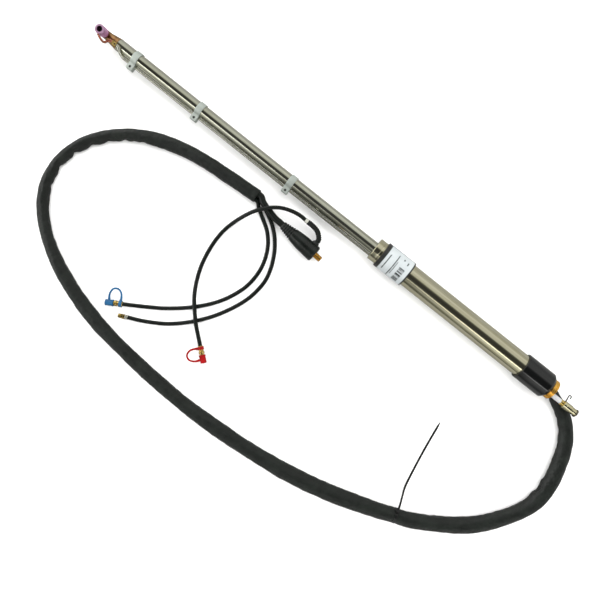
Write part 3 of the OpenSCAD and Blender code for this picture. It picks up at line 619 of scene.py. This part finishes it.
def sleeve_offset(point, run, angle, bend):
    """How far the sleeve's skin stands in or out of its round section."""
    c, s = math.cos(angle), math.sin(angle)
    inside = max(0.0, c if bend < 0 else -c)
    tight = min(1.0, abs(bend) / 7.0)
    sway = noise.noise(Vector((run * 9, c * 0.8, s * 0.8)))
    small = run / 0.021 + 1.1 * sway + 0.35 * s
    crease = (1 - abs(2 * (small - math.floor(small)) - 1)) ** 3
    long_fold = math.sin(2 * angle + run * 19 + 4 * noise.noise(Vector((run * 5, 3, 1))))
    ripple = noise.noise(Vector((run * 55, c * 2.2, s * 2.2)))
    fine = noise.noise(Vector((run * 140, c * 4.5, s * 4.5 + 9)))
    fold = sum(depth * max(0.0, 1 - abs(run - at - 0.004 * s) / 0.014) ** 1.5 for at, depth in FOLDS)
    offset = (-fold * MM * inside ** 0.7 - 0.0016 * crease * inside * (0.3 + 0.5 * tight)
              + 0.0007 * long_fold + 0.0010 * ripple + 0.0004 * fine + 0.0008 * sway)
    away = (point - KINK).length / 0.011
    if away < 3:
        offset -= 0.0065 * math.exp(-away ** 2) * inside
        offset += 0.0035 * math.exp(-(away - 1.6) ** 2 * 3) * inside
    return offset


def sleeve_ring(station, sides, grow=0.0):
    """The skin's points round one station."""
    here, heading, run, radius, bend = station
    side = heading.cross(Vector((0, 0, 1))).normalized()
    up = side.cross(heading)
    lift = SLEEVE_FLAT if run > 0.03 else 1.0 - 4 * run
    wide = interpolate(SLEEVE_WIDTH, run)
    ring = []
    for k in range(sides):
        angle = 2 * math.pi * k / sides
        way = side * math.cos(angle) * wide + up * math.sin(angle) * lift
        fade = min(1.0, run / 0.02)
        skin = here + way * radius
        skin += way * (sleeve_offset(skin, run, angle, bend) * fade + grow)
        sunk = here.z * (1 - lift)
        skin.z -= sunk * fade
        skin.z = max(skin.z, 0.0003)
        ring.append(skin)
    return ring


def build_sleeve():
    """The sleeve's folded skin, open at its mouth."""
    stations = sleeve_stations()

    def fill(bm):
        rings = [[bm.verts.new(p) for p in sleeve_ring(station, SLEEVE_SIDES)] for station in stations]
        # the cut end turns in and runs back inside, so that the mouth is a real opening
        last = rings[-1]
        centre = sum((v.co for v in last), Vector()) / SLEEVE_SIDES
        for back, shrink in ((-0.0008, 0.965), (0.0004, 0.93), (0.006, 0.92), (0.03, 0.90)):
            rings.append([bm.verts.new(centre + (v.co - centre) * shrink - mouth_dir * back) for v in last])
        bridge_and_cap(bm, rings)

    sleeve = piece("sleeve_skin", "sleeve_fabric", fill, replaced=["cable_sleeve"], sharp=70)
    return stations


def build_tie(stations):
    """The cable tie: a band round the sleeve, its square head and its long tail."""
    near = min(range(len(stations)), key=lambda i: (stations[i][0] - TIE_AT).length)
    heading = stations[near][1]
    sides = 48
    inner = sleeve_ring(stations[near], sides, grow=-0.0002)
    centre = sum(inner, Vector()) / sides

    def fill(bm):
        rings = []
        for along, out in ((-2.4, 0.0), (-2.4, 1.1), (2.4, 1.1), (2.4, 0.0)):
            rings.append([bm.verts.new(p + heading * along * MM + (p - centre).normalized() * out * MM)
                          for p in inner])
        bridge(bm, rings + rings[:1])
        start = Vector(TIE_TAIL[0]) * MM
        out = (start - centre).normalized()
        turn = Matrix((heading, heading.cross(out), out)).transposed().to_4x4()
        place = Matrix.Translation(centre + out * ((start - centre).length - 0.0005)) @ turn
        bevelled_box(bm, place, (0.0076, 0.0072, 0.0052), 0.0007)
        tail = smooth_route(metres(TIE_TAIL), step=0.003)
        rings = []
        for i, point in enumerate(tail):
            way = (tail[min(i + 1, len(tail) - 1)] - tail[max(i - 1, 0)]).normalized()
            across = way.cross(Vector((0, 0, 1))).normalized()
            rise = across.cross(way)
            half = 2.3 if i < len(tail) - 4 else 2.3 - 0.45 * (i - len(tail) + 5)
            rings.append([bm.verts.new(point + (across * a * half + rise * b * 0.6) * MM)
                          for a, b in ((-1, -1), (-1, 0.6), (-0.8, 1), (0.8, 1), (1, 0.6), (1, -1))])
        bridge_and_cap(bm, rings)

    piece("tie_band", "tie_nylon", fill, replaced=["cable_tie"])


# ---------------------------------------------------------------- plug

def build_plug():
    """The plug's boot with its ribs, side port and grip ridges, and the short power lead."""
    place = frame_along(PLUG_AT, PLUG_DIR)
    outline = [(-PLUG_L, 0), (-PLUG_L, 8.8)]
    for i in range(5):
        x = -PLUG_L + 6 + 5.5 * i
        low, high = (9.5 + 5.3 * (at + PLUG_L) / 31 for at in (x - 1.3, x + 1.3))
        outline += [(x - 1.3, low), (x - 0.7, low - 1.6), (x + 0.7, low - 1.5), (x + 1.3, high)]
    outline += [(-65, 14.8), (-57, 16), (-41, 17.9), (-39.5, 18.1), (-20, 18.6), (-3, 19), (0, 16.6),
                (0, 8.4), (-9, 8.0), (-9, 0)]

    def fill(bm):
        revolve(bm, rounded(outline, 0.9), place, 72)
        port = frame_along(side_port - PLUG_SIDE * 12 * MM, PLUG_SIDE)
        revolve(bm, rounded([(0, 0), (0, 9.6), (5, 9.0), (9.5, 8.0), (12.2, 7.7), (12.2, 0)], 1.0), port, 48)
        # three moulded grip ridges along the body
        ridge = Matrix.Translation((-22 * MM, 0, 17.6 * MM)) @ Matrix.Rotation(math.radians(-1.5), 4, "Y")
        for turn in (-62, 62, 180):
            around = Matrix.Rotation(math.radians(turn), 4, "X")
            bevelled_box(bm, place @ around @ ridge, (30 * MM, 5 * MM, 2.6 * MM), 0.0008)

    boot = piece("plug_body", "plug_rubber", fill, replaced=["plug_boot"], sharp=50)
    cable, length = cord_curve("power_lead", "cable_rubber", power_points, POWER_D,
                               replaced=["power_cable"])


def build_guard():
    """Spiral kink guard over the start of the red water hose."""
    route = smooth_route(guard_points, step=0.0005)
    pitch = 0.0042
    radii, run = [], 0.0
    for i, point in enumerate(route):
        run += (point - route[i - 1]).length if i else 0.0
        wave = 0.5 + 0.5 * math.cos(2 * math.pi * run / pitch)
        radii.append((5.15 + 0.95 * wave ** 0.6) * MM)
    return piece("guard_spiral", "cable_rubber", lambda bm: tube(bm, route, radii, 28),
                 replaced=["kink_guard"], sharp=75)


def build_red_hose():
    """The water hose that starts at the plug's side port and ends in the red cap."""
    hose, length = cord_curve("red_line", "cable_rubber", red_points, HOSE_D, replaced=["red_hose"])
    pieces = build_cap("red", red_points) + [build_guard(), "marker_band"]


def build_cap(colour, points):
    """Coupling with its push-on cap, ring and strap; x runs on from the hose end."""
    place = end_frame(points)
    slot = colour + "_rubber"
    coupling = lathe(colour + "_coupler", "ferrule_brass", [
        (0, 0), (0, 5.25), (11.5, 5.25), (12, 4.6), (13, 4.6), (13, 6.4), (18, 6.4), (18.2, 4.5),
        (20, 4.5), (20.5, 4.2), (30, 4.5), (31, 4.1), (32, 4.1), (32, 0)], place,
        replaced=[colour + "_coupling"], radius=0.35, sides=48)
    ring = lathe(colour + "_collar", slot, [(1.5, 5.3), (1.5, 7.25), (8.5, 7.25), (8.5, 5.3)], place,
                 replaced=[colour + "_ring"], radius=0.9, sides=48, closed=True)
    cap = lathe(colour + "_cover", slot, [
        (20.5, 4.6), (20.5, 7.5), (23.5, 7.5), (24, 6.9), (36.5, 6.7), (37, 7.4), (38.2, 7.3), (39, 5.5),
        (39, 0)], place, body=colour + "_cover", replaced=[colour + "_cap"], radius=0.7, sides=48)
    loop = [(5, -6.6, 1), (4, -15, 2), (5.5, -24, 2), (11, -31, 2), (18, -33, 2), (25, -30.5, 1.5),
            (30, -23, 1), (31.5, -15, 0.5), (31, -6.6, 0)]
    route = smooth_route([place @ (Vector(p) * MM) for p in loop], step=0.0015)
    count = len(route) - 1
    radii = [(2.2 + 0.8 * abs(2 * i / count - 1) ** 4) * MM for i in range(count + 1)]
    strap = piece(colour + "_tether", slot, lambda bm: tube(bm, route, radii, 16, flat=0.72),
                  replaced=[colour + "_strap"], sharp=60)
    return [coupling, ring, cap, strap]


def build_service_hoses():
    """The blue water hose and the gas hose, which come out of the sleeve's mouth."""
    hose, length = cord_curve("blue_line", "cable_rubber", blue_points, HOSE_D, replaced=["blue_hose"])
    build_cap("blue", blue_points)
    hose, length = cord_curve("gas_line_hose", "cable_rubber", gas_points, HOSE_D, replaced=["gas_hose"])
    place = end_frame(gas_points)
    crimp = lathe("gas_crimp", "crimp_steel", [
        (0, 4.4), (0, 5.2), (1.2, 5.2), (1.5, 4.85), (2.7, 4.85), (3, 5.2), (4.2, 5.2), (4.5, 4.85),
        (5.7, 4.85), (6, 5.2), (7, 5.2), (7, 0)], place, replaced=["gas_ferrule"], radius=0.25, sides=40)


build_tie(build_sleeve())
build_plug()
build_red_hose()
build_service_hoses()


# ---------------------------------------------------------------- lance

GUIDE_BESIDE = 17.5   # from the lance's axis to the guide tube's, mm
CLAMP_FIT = 0.05      # from a tube's surface to the clamp's bore round it, mm
BARREL_R = 14         # radii of the barrel and of the guide tube, mm
GUIDE_R = 3


def on_axis(x_mm, y_mm=0.0, z_mm=0.0):
    """A frame on the lance's axis, or beside it, with X along the lance."""
    return Matrix.Translation((x_mm * MM, y_mm * MM, AXIS_Z + z_mm * MM))


def build_collars():
    """The black rear collar and the steel flange in front of the label ring."""
    low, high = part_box("rear_collar")
    length = (high[0] - low[0]) / MM
    lathe("collar_shell", "black_phenolic", [
        (0, 26.1), (0, 30), (length - 8, 30), (length, 23), (length, 22.2), (25, 22), (25, 26.1)],
        on_axis(low[0] / MM), replaced=["rear_collar"], radius=0.9, sides=128, closed=True)
    low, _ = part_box("front_plug")
    lathe("flange", "housing_steel", [
        (0, 14.1), (0, 24.6), (1.2, 26), (12.6, 26), (13.0, 25.5), (13.6, 25.5), (14, 26), (20, 26),
        (20, 14.1)],
        on_axis(low[0] / MM), replaced=["front_plug"], radius=0.5, sides=128, closed=True)


def build_inlet():
    """The wire inlet's body and its rim."""
    low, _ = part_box("inlet_body")
    place = on_axis(low[0] / MM, -10, 11)
    lathe("inlet_shell", "inlet_nickel", [
        (0, 3.1), (0, 8.3), (0.6, 8.8), (5.5, 8.8), (6, 8.3), (7, 8.3), (7.5, 8.8), (20.5, 8.8), (21.5, 7.8),
        (31.5, 7.8), (31.5, 4.05), (11.6, 4.0), (11.6, 3.1)],
        place, replaced=["inlet_body"], radius=0.35, sides=64, closed=True)
    lathe("inlet_lip", "rim_dark", [
        (31.5, 4.6), (31.5, 9.0), (32.1, 9.2), (34.6, 9.2), (35.5, 8.2), (35.5, 4.6)],
        place, replaced=["inlet_rim"], radius=0.4, sides=64, closed=True)


def arc(radius, degrees, centre=(0.0, 0.0)):
    """Points on a circle at the given angles."""
    return [(centre[0] + radius * math.cos(math.radians(a)), centre[1] + radius * math.sin(math.radians(a)))
            for a in degrees]


def clamp_outline():
    """Outer outline of a clamp in its own plane, (y, z) from the lance axis, in mm."""
    ring, ear_y, half, corner = 16.0, -29.0, 7.5, 2.0
    start = math.degrees(math.acos(-math.sqrt(ring ** 2 - half ** 2) / ring))
    outline = arc(ring, [start - 2 * start * i / 56 for i in range(57)])
    for centre_z, first in ((-half + corner, 270), (half - corner, 180)):
        outline += arc(corner, [first - 18 * i for i in range(6)], (ear_y + corner, centre_z))
    return outline


def as_mesh(obj):
    """What the object looks like with its modifiers or its curve's bevel, as a new mesh."""
    return bpy.data.meshes.new_from_object(obj.evaluated_get(bpy.context.evaluated_depsgraph_get()))


def clamp_mesh(name, thick, middle):
    """A clamp's outline and bores, extruded with bevelled edges."""
    bevel = 0.0007
    data = bpy.data.curves.new(name + "_clamp_outline", "CURVE")
    data.dimensions = "2D"
    data.fill_mode = "BOTH"
    data.bevel_depth = bevel
    data.bevel_resolution = 2
    data.offset = -bevel
    data.extrude = thick / 2 - bevel
    bore = arc(BARREL_R + CLAMP_FIT, range(0, 360, 6))
    guide = arc(GUIDE_R + CLAMP_FIT, range(0, 360, 15), (-GUIDE_BESIDE, 0.0))
    for loop in (clamp_outline(), bore, guide):
        spline = data.splines.new("POLY")
        spline.points.add(len(loop) - 1)
        for target, (y, z) in zip(spline.points, loop):
            target.co = (y * MM, z * MM, 0, 1)
        spline.use_cyclic_u = True
    drawn = bpy.data.objects.new(name + "_clamp_drawn", data)
    bpy.context.collection.objects.link(drawn)
    mesh = as_mesh(drawn)
    bpy.data.objects.remove(drawn)
    # the outline's plane is (y, z), and its thickness runs along the lance
    mesh.transform(Matrix(((0, 0, 1, middle), (1, 0, 0, 0), (0, 1, 0, AXIS_Z), (0, 0, 0, 1))))
    mesh.name = name + "_clamp_body"
    mesh.materials.clear()
    return mesh


def cut_clamp(made, middle):
    """Counterbore for the screw and the slit through the ear."""
    def fill(bm):
        revolve(bm, [(-0.1, 0), (-0.1, 2.85), (8, 2.85), (8, 0)],
                frame_along((middle, -22.8 * MM, AXIS_Z + 4.5 * MM), (0, 0, 1)), 32)
        slit = Matrix.Translation((middle, -24 * MM, AXIS_Z)) @ Matrix.Diagonal((0.03, 0.014, 0.0016, 1))
        bmesh.ops.create_cube(bm, size=1.0, matrix=slit)

    cutter = bpy.data.objects.new("cutter", mesh_from("cutter", fill))
    bpy.context.collection.objects.link(cutter)
    boolean = made.modifiers.new("cut", "BOOLEAN")
    boolean.operation = "DIFFERENCE"
    boolean.solver = "EXACT"
    boolean.object = cutter
    bpy.context.view_layer.update()
    done = as_mesh(made)
    made.modifiers.clear()
    made.data = done
    bpy.data.objects.remove(cutter)


def build_clamps():
    """The three clamps, bored for the barrel and the guide tube, with a screw's seat and a slit."""
    for name in ("front", "middle", "rear"):
        node = "clamp_" + name
        low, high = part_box(node)
        middle = (low[0] + high[0]) / 2
        mesh = clamp_mesh(name, high[0] - low[0], middle)
        made = bpy.data.objects.new(name + "_clamp_body", mesh)
        settle(made, "clamp_alloy", name + "_clamp", [node])
        cut_clamp(made, middle)
        made.data.shade_smooth()
        made.data.set_sharp_from_angle(angle=math.radians(35))


def eased(t):
    """Runs from 0 to 1 with a soft start and a soft end."""
    return (1 - math.cos(math.pi * t)) / 2


def build_guide():
    """Wire guide tube beside the barrel, and the copper nozzle that it feeds."""
    low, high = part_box("wire_guide_tube")
    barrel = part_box("barrel_tube")[0][0]
    beside = GUIDE_BESIDE * MM
    bend = []
    for i in range(25):
        t = i / 24
        angle = math.radians(180 - 70 * eased(t))
        bend.append(Vector((barrel + (30 - 26 * t) * MM, beside * math.cos(angle),
                            AXIS_Z + beside * math.sin(angle))))
    rear = Vector((high[0], -beside, AXIS_Z))
    tip = bend[-1].copy()
    tip.x = low[0]
    straight = [rear.lerp(bend[0], i / 60) for i in range(60)]
    route = straight + smooth_route(bend, 0.001)[1:] + [tip]
    # the guide tube wears the lighter copy of the steel, painted light over the shade it gets beside the barrel
    piece("guide_pipe", "barrel_steel",
          lambda bm: tube(bm, route, [GUIDE_R * MM] * len(route), 32), replaced=["wire_guide_tube"], sharp=50,
          look="guide_steel_painted_light")
    cup_x = CUP_AT.x / MM
    x_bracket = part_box("wire_bracket")[0][0] / MM
    nozzle = [(x_bracket + 4, -6, 46.4), (cup_x + 24, -6.5, 46.6), (cup_x + 20, -10, 47),
              (cup_x + 17.5, -15, 48.5), (cup_x + 16.5, -18.6, 52), (cup_x + 15.4, -19.6, 57),
              (cup_x + 12.4, -19.2, 62.5), (cup_x + 8.8, -17.6, 67.5), (cup_x + 4.6, -15.8, 72)]
    route = smooth_route(metres(nozzle), 0.001)
    last = len(route) - 1
    radii = [(2.6 if i < last - 6 else 2.6 - 0.15 * (i - last + 6)) * MM for i in range(last + 1)]
    piece("nozzle_tube", "nozzle_copper", lambda bm: tube(bm, route, radii, 28),
          replaced=["wire_nozzle"], sharp=50)


def build_head():
    """The ceramic cup and the seal ring under it, both on the cup's own axis."""
    place = frame_along(CUP_AT, CUP_AXIS)
    lathe("cup_shell", "cup_ceramic", [
        (14, 7.05), (14, 9.8), (17, 10.5), (39.2, 10.5), (40, 9.9), (40, 6.5), (39.5, 5.9), (30, 5.9),
        (26.5, 7.0), (26, 7.05)],
        place, body="cup_nut", replaced=["cup"], radius=0.6, sides=96, closed=True)
    lathe("seal_ring", "seal_fluoro", [(12, 7.2), (12, 10), (13, 10.15), (14, 10), (14, 7.2)], place,
          replaced=["head_seal"], radius=0.5, sides=80, closed=True)


build_collars()
build_inlet()
build_clamps()
build_guide()
build_head()


# ---------------------------------------------------------------- studio

def make_floor():
    """White paper that reflections see as a mid grey, a painted shade that stands in for the floor's shadow round
    the lance, so that the steel keeps dark bands.
    """
    mesh = bpy.data.meshes.new("floor")
    mesh.from_pydata([(-4, -4, 0), (4, -4, 0), (4, 4, 0), (-4, 4, 0)], [], [(0, 1, 2, 3)])
    floor = bpy.data.objects.new("floor", mesh)
    bpy.context.collection.objects.link(floor)
    material = bpy.data.materials.new("floor_paper")
    material.use_nodes = True
    tree = material.node_tree
    tree.nodes.clear()
    seen = add_node(tree, "BsdfDiffuse", Color=(0.93, 0.93, 0.925, 1)).outputs[0]
    # painted shade: the floor as glossy rays see it, darker than the white paper
    floor_shade_in_reflections = add_node(tree, "BsdfDiffuse", Color=(0.27, 0.27, 0.265, 1)).outputs[0]
    by_gloss = add_node(tree, "LightPath").outputs["Is Glossy Ray"]
    both = add_node(tree, "MixShader", i0=by_gloss, i1=seen, i2=floor_shade_in_reflections).outputs[0]
    add_node(tree, "OutputMaterial", Surface=both)
    mesh.materials.append(material)


def ramp_node(tree, factor, stops):
    """A grey ramp; stops are (degrees from overhead towards -Y, brightness)."""
    ramp = add_node(tree, "ValToRGB", i0=factor)
    table = ramp.color_ramp.elements
    while len(table) > 1:
        table.remove(table[-1])
    for i, (degrees, value) in enumerate(stops):
        spot = (degrees + 180) / 360
        stop = table[0] if i == 0 else table.new(spot)
        stop.position = spot
        stop.color = (value, value, value * 0.97, 1)
    return ramp.outputs[0]


def make_world():
    """Soft studio surroundings: a wide soft wall behind the lance, a gap overhead,
    a strip light in front and a darker band along the front horizon."""
    world = bpy.data.worlds.new("studio")
    bpy.context.scene.world = world
    world.use_nodes = True
    tree = world.node_tree
    way = add_node(tree, "TexCoord").outputs["Generated"]
    parts = add_node(tree, "SeparateXYZ", i0=way).outputs
    forward = add_node(tree, "Math", {"operation": "MULTIPLY"}, i0=parts["Y"], i1=-1).outputs[0]
    angle = add_node(tree, "Math", {"operation": "ARCTAN2"}, i0=forward, i1=parts["Z"]).outputs[0]
    share = add_node(tree, "MapRange", Value=angle, From_Min=-math.pi, From_Max=math.pi).outputs[0]
    base = ramp_node(tree, share, ((-180, 0.5), (-95, 0.5), (-80, 0.5), (-60, 0.72), (-24, 0.76), (-13, 0.1),
                                   (0, 0.05), (22, 0.05), (32, 0.1), (41, 0.14), (56, 0.16), (66, 0.1),
                                   (92, 0.07), (100, 0.3), (180, 0.5)))
    # the strip light and its bright core are strong towards the lance's two ends, weak in its middle
    core = ramp_node(tree, share, ((-180, 0), (33, 0), (38.5, 0.13), (39.6, 1), (42.2, 1), (44, 0.15),
                                   (57, 0.18), (70, 0.12), (87, 0.05), (95, 0), (180, 0)))
    reach = add_node(tree, "Math", {"operation": "ABSOLUTE"}, i0=parts["X"]).outputs[0]
    power = add_node(tree, "MapRange", Value=reach, From_Min=0.1, From_Max=0.28,
                     To_Min=0.6, To_Max=4.6).outputs[0]
    glow = add_node(tree, "VectorMath", {"operation": "SCALE"}, i0=core, Scale=power).outputs[0]
    total = add_node(tree, "VectorMath", {"operation": "ADD"}, i0=base, i1=glow).outputs[0]
    # a soft wall past the head's end gives the dark sleeve its lit side
    wall = add_node(tree, "MapRange", Value=parts["X"], From_Min=-0.5, From_Max=-0.8, To_Max=1.6).outputs[0]
    final = add_node(tree, "VectorMath", {"operation": "ADD"}, i0=total, i1=wall).outputs[0]
    background = tree.nodes["Background"]
    feed(tree, background.inputs["Color"], final)
    background.inputs["Strength"].default_value = 1.0


def make_lights():
    """Broad soft light for the floor and the matt pieces; it leaves the metal's reflections alone."""
    for name, tilt, turn, power, spread in (("key", 32, 165, 2.3, 60), ("fill", 14, -40, 2.2, 110)):
        data = bpy.data.lights.new(name, "SUN")
        data.energy = power
        data.angle = math.radians(spread)
        light = bpy.data.objects.new(name, data)
        light.rotation_euler = (math.radians(tilt), 0, math.radians(turn))
        light.visible_glossy = False
        bpy.context.collection.objects.link(light)


make_floor()
make_world()
make_lights()
bpy.context.scene.view_settings.view_transform = "Standard"
